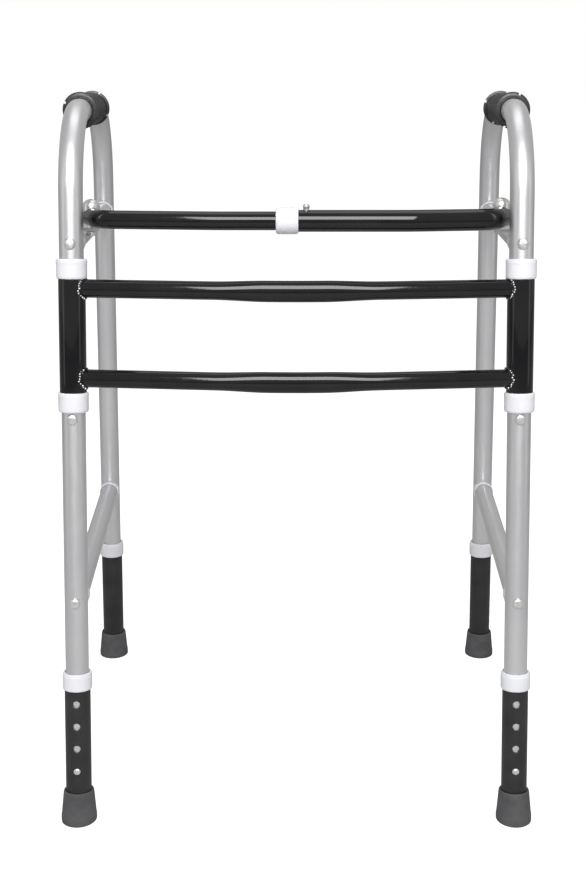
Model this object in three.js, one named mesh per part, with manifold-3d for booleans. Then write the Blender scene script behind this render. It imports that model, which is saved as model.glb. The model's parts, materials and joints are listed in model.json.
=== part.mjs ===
// A folding walking frame. Two inverted-U side frames turn in the sleeves of a front H-frame,
// a telescopic bar with a lock button holds them apart, and four leg extensions set the height.
// Millimetres, +Z up. The user stands on the +Y side, and the origin is on the floor at the middle.
import * as THREE from "three";
import { mergeVertices } from "three/addons/utils/BufferGeometryUtils.js";
import Module from "manifold-3d";

const wasm = await Module();
wasm.setup();

const DEG = Math.PI / 180;
const CONTACT = 0.3;

// Stance: leg centre lines at the floor, and how the side frames stand
const FRONT_HALF_WIDTH = 240.8;
const FRONT_Y = -207.67;
const SIDE_LENGTH = 415.9;
const TOE_OUT = 2.71 * DEG;
const SIDE_TILT = 1.23 * DEG;
const FRONT_LEAN = 6.41 * DEG;
const REAR_LEAN = 0.96 * DEG;

// Side frame tube
const LEG_R = 12.7;
const LEG_BORE = 11.4;
const LEG_END = 38;
const ARCH_Z = 755;
const ARCH_BEND = 90;
const TUBE_SIDES = 16;
const BEND_STEPS = 5;

// Side crossbars and the plastic saddles at their ends
const CROSSBAR_R = 11.1;
const CROSSBAR_BORE = 9.9;
const UPPER_Z = 625.5;
const LOWER_Z = 249;
const SADDLE_R = 12.8;
const SADDLE_REACH = 20;
const CROSSBAR_START = 15.8;

// Front H-frame
const SLEEVE_R = 14;
const SLEEVE_BORE = 13.1;
const SLEEVE_LOW = 476.5;
const SLEEVE_HIGH = 593.5;
const BUSH_R = 16;
const BUSH_BORE = 13.1;
const BUSH_LENGTH = 20.5;
const H_BAR_R = 9.5;
const H_BAR_BORE = 8.3;
const H_UPPER_Z = 580.5;
const H_LOWER_Z = 488;
const H_BOW = 24;
const H_BOW_BEND = 500;

// Telescopic bar between the side frames
const BAR_Z = 648.7;
const BAR_Y = FRONT_Y + 70;
const INNER_R = 9.5;
const INNER_BORE = 8.3;
const OUTER_R = 11.1;
const OUTER_BORE = 9.85;
const INNER_END = 60;
const INNER_STRAIGHT = 80;
const OUTER_MOUTH = -15;
const OUTER_STRAIGHT = 115;
const ELBOW_X = 202;
const ELBOW_BACK = 12;
const PIVOT_X = 215;
const PIVOT_BACK = 38;
const BAR_STUB = 7;
const BAR_COLLAR_R = 13.5;
const BAR_COLLAR_LOW = -21;
const BAR_COLLAR_HIGH = 2;
const LOCK_X = 10;
const LOCK_R = 3.5;
const LOCK_TIP = 17.1;

// Bar pivots: a bolt parallel to the front leg through each bar end
const PIVOT_R = 4;
const PIVOT_BORE = 4.4;
const CAP_R = 9;
const CAP_HEIGHT = 9;
const LUG_R = 8;
const LUG_THICKNESS = 3;
const LUG_GAP = 2;
const LUG_INSET = 9.2;
const NUT_R = 5.6;
const NUT_HEIGHT = 5;

// Leg extensions, measured along each leg
const EXTENSION_R = 14;
const EXTENSION_BORE = 13.05;
const EXTENSION_LOW = 8.3;
const EXTENSION_HIGH = 163.5;
const HOLE_R = 4.2;
const HOLE_LOW = 61.2;
const HOLE_PITCH = 25.4;
const HOLES = 4;
const COLLAR_R = 16;
const COLLAR_LOW = 151.9;
const COLLAR_HIGH = 170.9;
const TIP_HEIGHT = 35;
const TIP_TOP_R = 16.8;
const TIP_FOOT_R = 19.5;
const TIP_FLOOR = 8;

// Snap buttons in the legs
const BUTTON_R = 3.9;
const BUTTON_TIP = 16.2;
const BUTTON_HOLE_R = 4.3;

// Fastenings
const SCREW_Z = 446;
const HEAD_R = 5.5;
const HEAD_HEIGHT = 3.2;
const SHANK_R = 2.8;

// Hand grips
const GRIP_LOW = 178;
const GRIP_HIGH = 304;
const GRIP_R = 16.4;
const GRIP_RIB_R = 17.8;
const GRIP_FLANGE_R = 19.5;
const GRIP_FLANGE = 5;
const GRIP_RIBS = 5;
const GRIP_RIB_PITCH = 13;
const GRIP_RIB_WIDTH = 6;

const silver = new THREE.MeshStandardMaterial({ color: 0xc0c0c5, roughness: 0.3, metalness: 1 });
const blackPaint = new THREE.MeshStandardMaterial({ color: 0x19191c, roughness: 0.15, metalness: 0.2 });
const satinBlack = new THREE.MeshStandardMaterial({ color: 0x3a383a, roughness: 0.5, metalness: 0.3 });
const white = new THREE.MeshStandardMaterial({ color: 0xe4e6f0, roughness: 0.45, metalness: 0 });
const rubber = new THREE.MeshStandardMaterial({ color: 0x4a4a4c, roughness: 0.8, metalness: 0 });
const gripPlastic = new THREE.MeshStandardMaterial({ color: 0x323237, roughness: 0.6, metalness: 0 });
const chrome = new THREE.MeshStandardMaterial({ color: 0xd8d8d8, roughness: 0.15, metalness: 1 });
const spring = new THREE.MeshStandardMaterial({ color: 0x9a9a9e, roughness: 0.35, metalness: 1 });

// A closed geometry as a solid that can be joined and cut
function solidOf(geometry) {
  const bare = geometry.index ? geometry.toNonIndexed() : geometry.clone();
  bare.deleteAttribute("normal");
  bare.deleteAttribute("uv");
  const merged = mergeVertices(bare, 1e-4);
  const corners = merged.index.array;
  const triangles = [];
  for (let i = 0; i < corners.length; i += 3) {
    const [a, b, c] = [corners[i], corners[i + 1], corners[i + 2]];
    if (a !== b && b !== c && c !== a) triangles.push(a, b, c);
  }
  const make = (list) =>
    new wasm.Manifold(
      new wasm.Mesh({
        numProp: 3,
        vertProperties: new Float32Array(merged.attributes.position.array),
        triVerts: new Uint32Array(list),
      }),
    );
  const made = make(triangles);
  return made.volume() < 0 ? make(triangles.reverse()) : made;
}

function geometryOf(solid) {
  const mesh = solid.getMesh();
  const geometry = new THREE.BufferGeometry();
  geometry.setAttribute("position", new THREE.BufferAttribute(new Float32Array(mesh.vertProperties), 3));
  geometry.setIndex(new THREE.BufferAttribute(new Uint32Array(mesh.triVerts), 1));
  return geometry;
}

function add(group, name, solid, material) {
  const faceted = geometryOf(solid).toNonIndexed();
  faceted.computeVertexNormals();
  const mesh = new THREE.Mesh(faceted, material);
  mesh.name = name;
  group.add(mesh);
}

// The same solid seen from another frame
function moved(solid, matrix) {
  return solidOf(geometryOf(solid).applyMatrix4(matrix));
}

function circle(radius, sides = TUBE_SIDES) {
  const points = [];
  for (let i = 0; i < sides; i++) {
    const angle = ((i + 0.5) * 2 * Math.PI) / sides;
    points.push(new THREE.Vector2(radius * Math.cos(angle), radius * Math.sin(angle)));
  }
  return points;
}

function ringShape(outer, inner, sides) {
  const shape = new THREE.Shape(circle(outer, sides));
  if (inner) shape.holes.push(new THREE.Path(circle(inner, sides)));
  return shape;
}

// A straight tube, or a rod where inner is 0, along Z
function tube(outer, inner, low, high, sides = TUBE_SIDES) {
  const options = { depth: high - low, bevelEnabled: false, steps: 1 };
  const geometry = new THREE.ExtrudeGeometry(ringShape(outer, inner, sides), options);
  return solidOf(geometry.translate(0, 0, low));
}

// A body turned about Z from [radius, height] corners; an open profile ends on the axis
function turned(profile, sides = TUBE_SIDES) {
  const points = profile.map(([r, z]) => new THREE.Vector2(r, z));
  const onAxis = profile[0][0] === 0 && profile[profile.length - 1][0] === 0;
  if (!onAxis) points.push(points[0].clone());
  return solidOf(new THREE.LatheGeometry(points, sides).rotateX(Math.PI / 2));
}

// A centre line of straight runs joined by round bends: one step to a run, several to a bend
class BentPath extends THREE.Curve {
  constructor(corners, radii, steps = BEND_STEPS) {
    super();
    const heading = (i) => corners[i + 1].clone().sub(corners[i]).normalize();
    this.places = [corners[0].clone()];
    this.headings = [heading(0)];
    for (let i = 1; i < corners.length - 1; i++) {
      this.bend(corners[i], heading(i - 1), heading(i), radii[i - 1], steps);
    }
    this.places.push(corners[corners.length - 1].clone());
    this.headings.push(heading(corners.length - 2));
  }
  bend(corner, from, to, radius, steps) {
    const angle = from.angleTo(to);
    const reach = radius * Math.tan(angle / 2);
    const inward = to.clone().addScaledVector(from, -Math.cos(angle)).divideScalar(Math.sin(angle));
    const start = corner.clone().addScaledVector(from, -reach);
    for (let k = 0; k <= steps; k++) {
      const a = (angle * k) / steps;
      const place = start.clone().addScaledVector(from, radius * Math.sin(a));
      this.places.push(place.addScaledVector(inward, radius * (1 - Math.cos(a))));
      this.headings.push(from.clone().multiplyScalar(Math.cos(a)).addScaledVector(inward, Math.sin(a)));
    }
  }
  get runs() {
    return this.places.length - 1;
  }
  getPointAt(u, target = new THREE.Vector3()) {
    return target.copy(this.places[Math.round(u * this.runs)]);
  }
  getTangentAt(u, target = new THREE.Vector3()) {
    return target.copy(this.headings[Math.round(u * this.runs)]);
  }
}

function bentTube(path, outer, inner, sides) {
  const options = { steps: path.runs, extrudePath: path, bevelEnabled: false };
  return solidOf(new THREE.ExtrudeGeometry(ringShape(outer, inner, sides), options));
}

// A pan-headed screw pointing along +Z, its head resting at the given distance from the leg's centre
function screw(seat) {
  return turned(
    [
      [0, seat - 5.5],
      [SHANK_R, seat - 5.5],
      [SHANK_R, seat + CONTACT],
      [HEAD_R, seat + CONTACT],
      [HEAD_R, seat + CONTACT + HEAD_HEIGHT * 0.4],
      [HEAD_R * 0.7, seat + CONTACT + HEAD_HEIGHT * 0.9],
      [0, seat + CONTACT + HEAD_HEIGHT],
    ],
    12,
  );
}

// A spring button along +Z: a flange inside the tube and a round-ended pin through it
function snapButton(radius, flange, flangeTop, tip) {
  return turned(
    [
      [0, flangeTop - 1],
      [flange, flangeTop - 1],
      [flange, flangeTop],
      [radius, flangeTop],
      [radius, tip - 1.4],
      [radius * 0.72, tip - 0.4],
      [0, tip],
    ],
    12,
  );
}

// A folded leaf: two strips across a tube, joined by a round turn, in X and Y, as wide as its Z
function leafSpring(near, far, width, tail, turn) {
  const thickness = 0.8;
  const middle = (near + far) / 2;
  const radius = (far - near) / 2;
  const shape = new THREE.Shape();
  shape.moveTo(near, -tail);
  shape.lineTo(near, turn);
  for (let k = 1; k <= 6; k++) {
    const a = Math.PI - (Math.PI * k) / 6;
    shape.lineTo(middle + radius * Math.cos(a), turn + radius * Math.sin(a));
  }
  shape.lineTo(far, -tail);
  shape.lineTo(far - thickness, -tail);
  for (let k = 0; k <= 6; k++) {
    const a = (Math.PI * k) / 6;
    const inner = radius - thickness;
    shape.lineTo(middle + inner * Math.cos(a), turn + inner * Math.sin(a));
  }
  shape.lineTo(near + thickness, -tail);
  const options = { depth: width, bevelEnabled: false, steps: 1 };
  return solidOf(new THREE.ExtrudeGeometry(shape, options).translate(0, 0, -width / 2));
}

const basis = (x, y, z) => new THREE.Matrix4().makeBasis(x, y, z);
const X = new THREE.Vector3(1, 0, 0);
const Y = new THREE.Vector3(0, 1, 0);
const Z = new THREE.Vector3(0, 0, 1);
const toFront = new THREE.Matrix4().makeRotationX(Math.PI / 2);
const toRear = new THREE.Matrix4().makeRotationX(-Math.PI / 2);
const up = (height) => new THREE.Matrix4().makeTranslation(0, 0, height);

const walker = new THREE.Group();

// One side frame's own frame: Y along the floor from front foot to rear foot, Z up in its plane
function sideGroup(side) {
  const group = new THREE.Group();
  group.position.set(side * FRONT_HALF_WIDTH, FRONT_Y, 0);
  group.rotation.set(0, -side * SIDE_TILT, -side * TOE_OUT, "ZYX");
  walker.add(group);
  return group;
}

// A leg's frame inside its side frame: Z up along the leg's centre line from the floor
function legGroup(parent, rear) {
  const group = new THREE.Group();
  group.position.set(0, rear ? SIDE_LENGTH : 0, 0);
  group.rotation.set(rear ? REAR_LEAN : -FRONT_LEAN, 0, 0);
  parent.add(group);
  group.updateMatrix();
  return group;
}

// Front and rear leg centre lines in the side frame's plane, at a height
const frontAt = (z) => z * Math.tan(FRONT_LEAN);
const rearAt = (z) => SIDE_LENGTH - z * Math.tan(REAR_LEAN);

function buildSideTube(group, name, front, rear) {
  const foot = (leg) => new THREE.Vector3(0, 0, LEG_END).applyMatrix4(leg.matrix);
  const corners = [
    foot(front),
    new THREE.Vector3(0, frontAt(ARCH_Z), ARCH_Z),
    new THREE.Vector3(0, rearAt(ARCH_Z), ARCH_Z),
    foot(rear),
  ];
  let made = bentTube(new BentPath(corners, [ARCH_BEND, ARCH_BEND]), LEG_R, LEG_BORE);
  const drill = (leg, radius, height, turn) => {
    const bit = moved(tube(radius, 0, 8, 16, 12), up(height).multiply(turn));
    made = made.subtract(moved(bit, leg.matrix));
  };
  drill(front, BUTTON_HOLE_R, HOLE_LOW, toFront);
  drill(rear, BUTTON_HOLE_R, HOLE_LOW, toRear);
  for (const z of [UPPER_Z, LOWER_Z, SCREW_Z]) {
    drill(front, SHANK_R + CONTACT, z / Math.cos(FRONT_LEAN), toFront);
  }
  add(group, name + "_side_tube", made, silver);
}

function buildCrossbar(group, name, z, front, rear) {
  const toY = new THREE.Matrix4().makeRotationX(-Math.PI / 2);
  const at = (y) => new THREE.Matrix4().makeTranslation(0, y, z).multiply(toY);
  const low = frontAt(z) + CROSSBAR_START;
  const high = rearAt(z) - CROSSBAR_START;
  add(group, name + "_crossbar", moved(tube(CROSSBAR_R, CROSSBAR_BORE, low, high), at(0)), silver);
  const saddle = (centre, outwards, leg) => {
    const span = (a, b) => [Math.min(a, b), Math.max(a, b)];
    const reach = (d) => centre + outwards * d;
    const body = tube(SADDLE_R, 0, ...span(reach(6), reach(SADDLE_REACH)));
    const socket = tube(CROSSBAR_R + CONTACT, 0, ...span(reach(CROSSBAR_START - CONTACT), reach(40)));
    const post = moved(tube(LEG_R + CONTACT, 0, z - 60, z + 60), leg.matrix);
    return moved(body.subtract(socket), at(0)).subtract(post);
  };
  add(group, name + "_front_saddle", saddle(frontAt(z), 1, front), white);
  add(group, name + "_rear_saddle", saddle(rearAt(z), -1, rear), white);
}

function buildGrip(group, name) {
  const bore = LEG_R + 0.35;
  const profile = [
    [bore, GRIP_LOW],
    [GRIP_FLANGE_R - 1, GRIP_LOW],
    [GRIP_FLANGE_R, GRIP_LOW + 1.5],
    [GRIP_FLANGE_R, GRIP_LOW + GRIP_FLANGE],
    [GRIP_R, GRIP_LOW + GRIP_FLANGE],
  ];
  const middle = (GRIP_LOW + GRIP_HIGH) / 2;
  for (let k = 0; k < GRIP_RIBS; k++) {
    const at = middle + (k - (GRIP_RIBS - 1) / 2) * GRIP_RIB_PITCH;
    profile.push([GRIP_R, at - GRIP_RIB_WIDTH / 2]);
    profile.push([GRIP_RIB_R, at]);
    profile.push([GRIP_R, at + GRIP_RIB_WIDTH / 2]);
  }
  profile.push([GRIP_R, GRIP_HIGH - GRIP_FLANGE]);
  profile.push([GRIP_FLANGE_R, GRIP_HIGH - GRIP_FLANGE]);
  profile.push([GRIP_FLANGE_R, GRIP_HIGH - 1.5]);
  profile.push([GRIP_FLANGE_R - 1, GRIP_HIGH]);
  profile.push([bore, GRIP_HIGH]);
  const toY = new THREE.Matrix4().makeTranslation(0, 0, ARCH_Z).multiply(toRear);
  add(group, name + "_grip", moved(turned(profile), toY), gripPlastic);
}

// The rubber tip is cut level with the floor, however its leg leans
function buildTip(leg, name) {
  const blank = turned([
    [0, -6],
    [TIP_FOOT_R, -6],
    [TIP_FOOT_R, 5],
    [TIP_FOOT_R - 1, 9],
    [TIP_TOP_R + 0.6, TIP_HEIGHT - 3],
    [TIP_TOP_R - 0.6, TIP_HEIGHT],
    [EXTENSION_R + CONTACT, TIP_HEIGHT],
    [EXTENSION_R + CONTACT, TIP_FLOOR],
    [0, TIP_FLOOR],
  ]);
  leg.updateWorldMatrix(true, false);
  const toLeg = leg.matrixWorld.clone().invert();
  const place = new THREE.Vector3().setFromMatrixPosition(leg.matrixWorld);
  const ground = new THREE.BoxGeometry(120, 120, 60).translate(place.x, place.y, -30);
  add(leg, name + "_tip", blank.subtract(solidOf(ground.applyMatrix4(toLeg))), rubber);
}

function buildExtension(leg, name, turn) {
  let sleeve = tube(EXTENSION_R, EXTENSION_BORE, EXTENSION_LOW, EXTENSION_HIGH);
  for (let k = 0; k < HOLES; k++) {
    const hole = tube(HOLE_R, 0, 10, 18, 12);
    sleeve = sleeve.subtract(moved(hole, up(HOLE_LOW + k * HOLE_PITCH).multiply(turn)));
  }
  add(leg, name + "_extension", sleeve, satinBlack);
  const seat = EXTENSION_HIGH + CONTACT;
  const collar = turned([
    [EXTENSION_R + CONTACT, COLLAR_LOW],
    [COLLAR_R - 1.5, COLLAR_LOW],
    [COLLAR_R, COLLAR_LOW + 2],
    [COLLAR_R, COLLAR_HIGH - 3],
    [COLLAR_R - 2, COLLAR_HIGH],
    [SLEEVE_BORE, COLLAR_HIGH],
    [SLEEVE_BORE, seat],
    [EXTENSION_R + CONTACT, seat],
  ]);
  add(leg, name + "_collar", collar, white);
  buildTip(leg, name);
}

function buildSnap(leg, name, turn) {
  const at = up(HOLE_LOW).multiply(turn);
  add(leg, name + "_button", moved(snapButton(BUTTON_R, 5, 9.3, BUTTON_TIP), at), chrome);
  const facing = turn === toFront ? 1 : -1;
  const across = basis(Y.clone().multiplyScalar(facing), Z, X.clone().multiplyScalar(facing));
  add(leg, name + "_spring", moved(leafSpring(-8, 10.2, 7, 5, 13), up(HOLE_LOW).multiply(across)), spring);
}

function buildScrews(front, name) {
  const set = [
    ["_upper_bolt", UPPER_Z],
    ["_lower_bolt", LOWER_Z],
    ["_collar_screw", SCREW_Z],
  ];
  for (const [suffix, z] of set) {
    const at = up(z / Math.cos(FRONT_LEAN)).multiply(toFront);
    add(front, name + suffix, moved(screw(LEG_R), at), chrome);
  }
}

// The front sleeve and its two bushes belong to the H-frame, but stand along the front leg
function buildSleeve(front, name) {
  add(front, name + "_sleeve", tube(SLEEVE_R, SLEEVE_BORE, SLEEVE_LOW, SLEEVE_HIGH), blackPaint);
  const bush = (low) =>
    turned([
      [BUSH_BORE, low],
      [BUSH_R - 2, low],
      [BUSH_R, low + 2],
      [BUSH_R, low + BUSH_LENGTH - 2],
      [BUSH_R - 2, low + BUSH_LENGTH],
      [BUSH_BORE, low + BUSH_LENGTH],
    ]);
  add(front, name + "_upper_bush", bush(SLEEVE_HIGH + CONTACT), white);
  add(front, name + "_lower_bush", bush(SLEEVE_LOW - CONTACT - BUSH_LENGTH), white);
}

const pivotPoint = (side) => new THREE.Vector3(side * PIVOT_X, BAR_Y + PIVOT_BACK, BAR_Z);

// A flat lug welded behind the front leg, square to it, under the end of the bar
function buildLug(front, name, side, barRadius) {
  front.updateWorldMatrix(true, false);
  const pivot = pivotPoint(side).applyMatrix4(front.matrixWorld.clone().invert());
  const top = pivot.z - barRadius - LUG_GAP;
  const reach = Math.hypot(pivot.x, pivot.y);
  const heading = Math.atan2(pivot.y, pivot.x);
  const outline = [];
  for (let k = 0; k <= 10; k++) {
    const a = heading - Math.PI / 2 + (Math.PI * k) / 10;
    outline.push(new THREE.Vector2(pivot.x + LUG_R * Math.cos(a), pivot.y + LUG_R * Math.sin(a)));
  }
  const back = (sign) =>
    new THREE.Vector2(-sign * LUG_R * Math.sin(heading), sign * LUG_R * Math.cos(heading));
  outline.push(back(1).add(new THREE.Vector2(pivot.x, pivot.y).multiplyScalar(5 / reach)));
  outline.push(back(-1).add(new THREE.Vector2(pivot.x, pivot.y).multiplyScalar(5 / reach)));
  const options = { depth: LUG_THICKNESS, bevelEnabled: false, steps: 1 };
  const plate = new THREE.ExtrudeGeometry(new THREE.Shape(outline), options);
  let lug = solidOf(plate.translate(0, 0, top - LUG_THICKNESS));
  lug = lug.subtract(tube(LEG_R + CONTACT, 0, top - 20, top + 20));
  const bore = new THREE.Matrix4().makeTranslation(pivot.x, pivot.y, 0);
  lug = lug.subtract(moved(tube(PIVOT_BORE, 0, top - 20, top + 20), bore));
  const toLeg = front.matrix.clone().invert();
  const beam = new THREE.Matrix4().makeTranslation(0, 0, UPPER_Z).multiply(toRear);
  const start = frontAt(UPPER_Z);
  const saddle = tube(SADDLE_R + CONTACT, 0, start, start + SADDLE_REACH + CONTACT);
  lug = lug.subtract(moved(moved(saddle, beam), toLeg));
  const overCrossbar = new THREE.BoxGeometry(2 * LUG_INSET, 200, 100).translate(0, 0, top);
  lug = lug.subtract(solidOf(overCrossbar));
  add(front, name + "_bar_lug", lug, silver);
}

function buildSide(side, name) {
  const group = sideGroup(side);
  const front = legGroup(group, false);
  const rear = legGroup(group, true);
  buildSideTube(group, name, front, rear);
  buildCrossbar(group, name + "_upper", UPPER_Z, front, rear);
  buildCrossbar(group, name + "_lower", LOWER_Z, front, rear);
  buildGrip(group, name);
  buildScrews(front, name);
  buildLug(front, name, side, side < 0 ? INNER_R : OUTER_R);
  buildSleeve(front, name);
  buildExtension(front, name + "_front", toFront);
  buildExtension(rear, name + "_rear", toRear);
  buildSnap(front, name + "_front", toFront);
  buildSnap(rear, name + "_rear", toRear);
  return front;
}

const leftLeg = buildSide(-1, "left");
const rightLeg = buildSide(1, "right");

// The H-frame's crossbars run from sleeve to sleeve and bow away from the user
function buildHBar(name, z) {
  const end = (leg) => new THREE.Vector3(0, 0, z / Math.cos(FRONT_LEAN)).applyMatrix4(leg.matrixWorld);
  const left = end(leftLeg);
  const right = end(rightLeg);
  const middle = new THREE.Vector3(0, left.y - H_BOW, left.z);
  const path = new BentPath([left, middle, right], [H_BOW_BEND], 4);
  const sleeve = tube(SLEEVE_R + CONTACT, 0, SLEEVE_LOW - 40, SLEEVE_HIGH + 40);
  let bar = bentTube(path, H_BAR_R, H_BAR_BORE);
  bar = bar.subtract(moved(sleeve, leftLeg.matrixWorld));
  bar = bar.subtract(moved(sleeve, rightLeg.matrixWorld));
  add(walker, name, bar, blackPaint);
}
buildHBar("front_upper_crossbar", H_UPPER_Z);
buildHBar("front_lower_crossbar", H_LOWER_Z);

// Each bar half runs straight through the middle, bends back, and ends just past its pivot
function barPath(side, from, straight) {
  const at = (x, back) => new THREE.Vector3(x, BAR_Y + back, BAR_Z);
  const pivot = at(side * PIVOT_X, PIVOT_BACK);
  const elbow = at(side * ELBOW_X, ELBOW_BACK);
  const stub = pivot.clone().sub(elbow).setLength(BAR_STUB);
  const corners = [at(from, 0), at(side * straight, 0), elbow, pivot.add(stub)];
  return new BentPath(corners, [200, 25], 3);
}

function pivotFrame(side, leg) {
  const rotation = new THREE.Matrix4().extractRotation(leg.matrixWorld);
  return new THREE.Matrix4().makeTranslation(...pivotPoint(side)).multiply(rotation);
}

function buildBarHalf(name, side, leg, path, radius, bore) {
  const frame = pivotFrame(side, leg);
  let half = bentTube(path, radius, bore);
  half = half.subtract(moved(tube(PIVOT_BORE, 0, -30, 30), frame));
  const upright = new THREE.Matrix4().makeTranslation(LOCK_X, BAR_Y, BAR_Z);
  half = half.subtract(moved(tube(LOCK_R + CONTACT, 0, 0, 16, 12), upright));
  add(walker, name, half, blackPaint);
}

// The pivot bolt's domed cap is shaped to the bar; the left bolt also passes through its lug to a nut
function buildPivotBolt(name, side, leg, path, radius, through) {
  const frame = pivotFrame(side, leg);
  const cap = turned([
    [0, radius - 5],
    [CAP_R, radius - 5],
    [CAP_R, radius + CAP_HEIGHT * 0.3],
    [CAP_R * 0.75, radius + CAP_HEIGHT * 0.75],
    [CAP_R * 0.4, radius + CAP_HEIGHT * 0.95],
    [0, radius + CAP_HEIGHT],
  ]);
  const seated = moved(cap, frame).subtract(bentTube(path, radius + CONTACT, 0));
  const plate = radius + LUG_GAP + LUG_THICKNESS + CONTACT;
  const shank = through
    ? turned([
        [0, -plate - NUT_HEIGHT],
        [NUT_R, -plate - NUT_HEIGHT],
        [NUT_R, -plate],
        [PIVOT_R, -plate],
        [PIVOT_R, radius + 3],
        [0, radius + 3],
      ])
    : tube(PIVOT_R, 0, -radius, radius + 3);
  add(walker, name, seated.add(moved(shank, frame)), chrome);
}

const innerPath = barPath(-1, INNER_END, INNER_STRAIGHT);
const outerPath = barPath(1, OUTER_MOUTH, OUTER_STRAIGHT);
buildBarHalf("bar_inner", -1, leftLeg, innerPath, INNER_R, INNER_BORE);
buildBarHalf("bar_outer", 1, rightLeg, outerPath, OUTER_R, OUTER_BORE);
buildPivotBolt("left_pivot_bolt", -1, leftLeg, innerPath, INNER_R, true);
buildPivotBolt("right_pivot_bolt", 1, rightLeg, outerPath, OUTER_R, false);

// Collar on the outer half's mouth, and the lock button that stands through both halves
const alongBar = new THREE.Matrix4().makeTranslation(0, BAR_Y, BAR_Z).multiply(basis(Y, Z, X));
const barCollar = turned([
  [OUTER_BORE + 0.1, BAR_COLLAR_LOW],
  [BAR_COLLAR_R - 1.5, BAR_COLLAR_LOW],
  [BAR_COLLAR_R, BAR_COLLAR_LOW + 2],
  [BAR_COLLAR_R, BAR_COLLAR_HIGH - 2],
  [BAR_COLLAR_R - 1.5, BAR_COLLAR_HIGH],
  [OUTER_R + CONTACT, BAR_COLLAR_HIGH],
  [OUTER_R + CONTACT, OUTER_MOUTH - CONTACT],
  [OUTER_BORE + 0.1, OUTER_MOUTH - CONTACT],
]);
add(walker, "bar_collar", moved(barCollar, alongBar), white);
const lockFrame = new THREE.Matrix4().makeTranslation(LOCK_X, BAR_Y, BAR_Z);
add(walker, "bar_button", moved(snapButton(LOCK_R, 4.6, 6.2, LOCK_TIP), lockFrame), chrome);
const leafFrame = basis(Z.clone().negate(), X.clone().negate(), Y);
const lockLeaf = leafSpring(-4.9, 7.4, 6, 5, 14);
add(walker, "bar_spring", moved(lockLeaf, lockFrame.clone().multiply(leafFrame)), spring);

export default walker;
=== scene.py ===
"""The looks of the folding walking frame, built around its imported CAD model. Metres, +Z up."""
import json
import math
import bpy
import bmesh
from mathutils import Matrix, Vector, noise


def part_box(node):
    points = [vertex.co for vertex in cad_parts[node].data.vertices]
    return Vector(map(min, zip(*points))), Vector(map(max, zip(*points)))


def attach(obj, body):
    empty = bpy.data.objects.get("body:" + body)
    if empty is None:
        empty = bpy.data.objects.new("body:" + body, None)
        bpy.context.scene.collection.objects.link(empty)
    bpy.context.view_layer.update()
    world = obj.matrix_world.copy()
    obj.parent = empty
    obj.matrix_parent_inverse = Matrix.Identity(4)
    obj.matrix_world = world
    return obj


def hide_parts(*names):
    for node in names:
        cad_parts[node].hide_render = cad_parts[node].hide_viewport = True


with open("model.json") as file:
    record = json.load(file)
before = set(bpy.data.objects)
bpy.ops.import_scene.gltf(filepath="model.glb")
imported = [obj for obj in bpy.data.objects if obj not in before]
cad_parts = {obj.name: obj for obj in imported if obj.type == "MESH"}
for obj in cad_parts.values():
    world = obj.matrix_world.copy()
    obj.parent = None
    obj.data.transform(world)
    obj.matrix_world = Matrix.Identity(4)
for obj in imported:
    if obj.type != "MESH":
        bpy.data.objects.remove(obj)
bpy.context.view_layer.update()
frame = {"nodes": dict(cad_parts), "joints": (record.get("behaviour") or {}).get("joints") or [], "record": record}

MM = 0.001
ROUND = 64  # sides of a finished tube
SMALL_ROUND = 32  # sides of a small turned piece
CONTACT = 0.3 * MM

# Dimensions that the frame doesn't give by itself
LEG_END = 38 * MM
LEG_WALL = 1.3 * MM
ARCH_BEND = 90 * MM
H_BOW_BEND = 500 * MM
OVAL_HALF_LENGTH = 57 * MM
OVAL_TALL = 1.16
BAR_BENDS = (200 * MM, 25 * MM)
BAR_WALL = 1.2 * MM
BAR_STUB = 7 * MM
ELBOW_X = 202 * MM
ELBOW_BACK = 12 * MM
INNER_STRAIGHT = 80 * MM
INNER_R = (9.5 * MM, 8.3 * MM)
OUTER_STRAIGHT = 115 * MM
OUTER_R = (11.1 * MM, 9.85 * MM)
PIVOT_BORE = 4.4 * MM
LOCK_BORE = 3.8 * MM
HOLE_R = 4.2 * MM
HOLE_PITCH = 25.4 * MM
HOLES = 4
BUTTON_HOLE_R = 4.3 * MM
BUTTON_R = 3.9 * MM
SCREW_SHANK_R = 2.8 * MM
SCREW_HEAD = 3.2 * MM
SCREW_SLOT = 0.45 * MM  # half its width
PIVOT_R = 4 * MM
NUT_R = 5.6 * MM
NUT_HEIGHT = 5 * MM
LOCK_R = 3.5 * MM
COLLAR_SOCKET_R = 11.4 * MM

# Hand grip
GRIP_FLANGE = 5 * MM
GRIP_RIBS = 9
GRIP_RIB_PITCH = 8 * MM
GRIP_RIB_WIDTH = 3.2 * MM
GRIP_RIB_RISE = 1.9 * MM
GRIP_NOTCHES = 4
GRIP_NOTCH_WIDTH = 2.6 * MM
GRIP_NOTCH_DEPTH = 2.2 * MM
GRIP_NOTCH_TURN = 25


# Welds
WELD_STEPS = 132
WELD_SIDES = 14
WELD_R = 1.7 * MM
WELD_LUMP = 1.1 * MM
WELD_SKIN = 0.3 * MM  # how far a weld sinks into the sleeve's wall
GLINT_DROP_STEP = 5  # one bright metal ball, a painted glint, to so many steps round a weld

# Studio
FLOOR_GLOW = 0.8
ROOM_LIGHT = 0.52

joints = {joint["name"]: joint for joint in frame["joints"]}
mounts = {mount["name"]: mount for mount in frame["record"]["mounts"]}


# ---------------------------------------------------------------- frames of reference


def axes(origin, z_axis, y_hint):
    """A frame whose Z runs along z_axis and whose Y is as near y_hint as it can be"""
    z = Vector(z_axis).normalized()
    x = Vector(y_hint).cross(z).normalized()
    y = z.cross(x)
    made = Matrix((x, y, z)).transposed().to_4x4()
    made.translation = Vector(origin)
    return made


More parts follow.
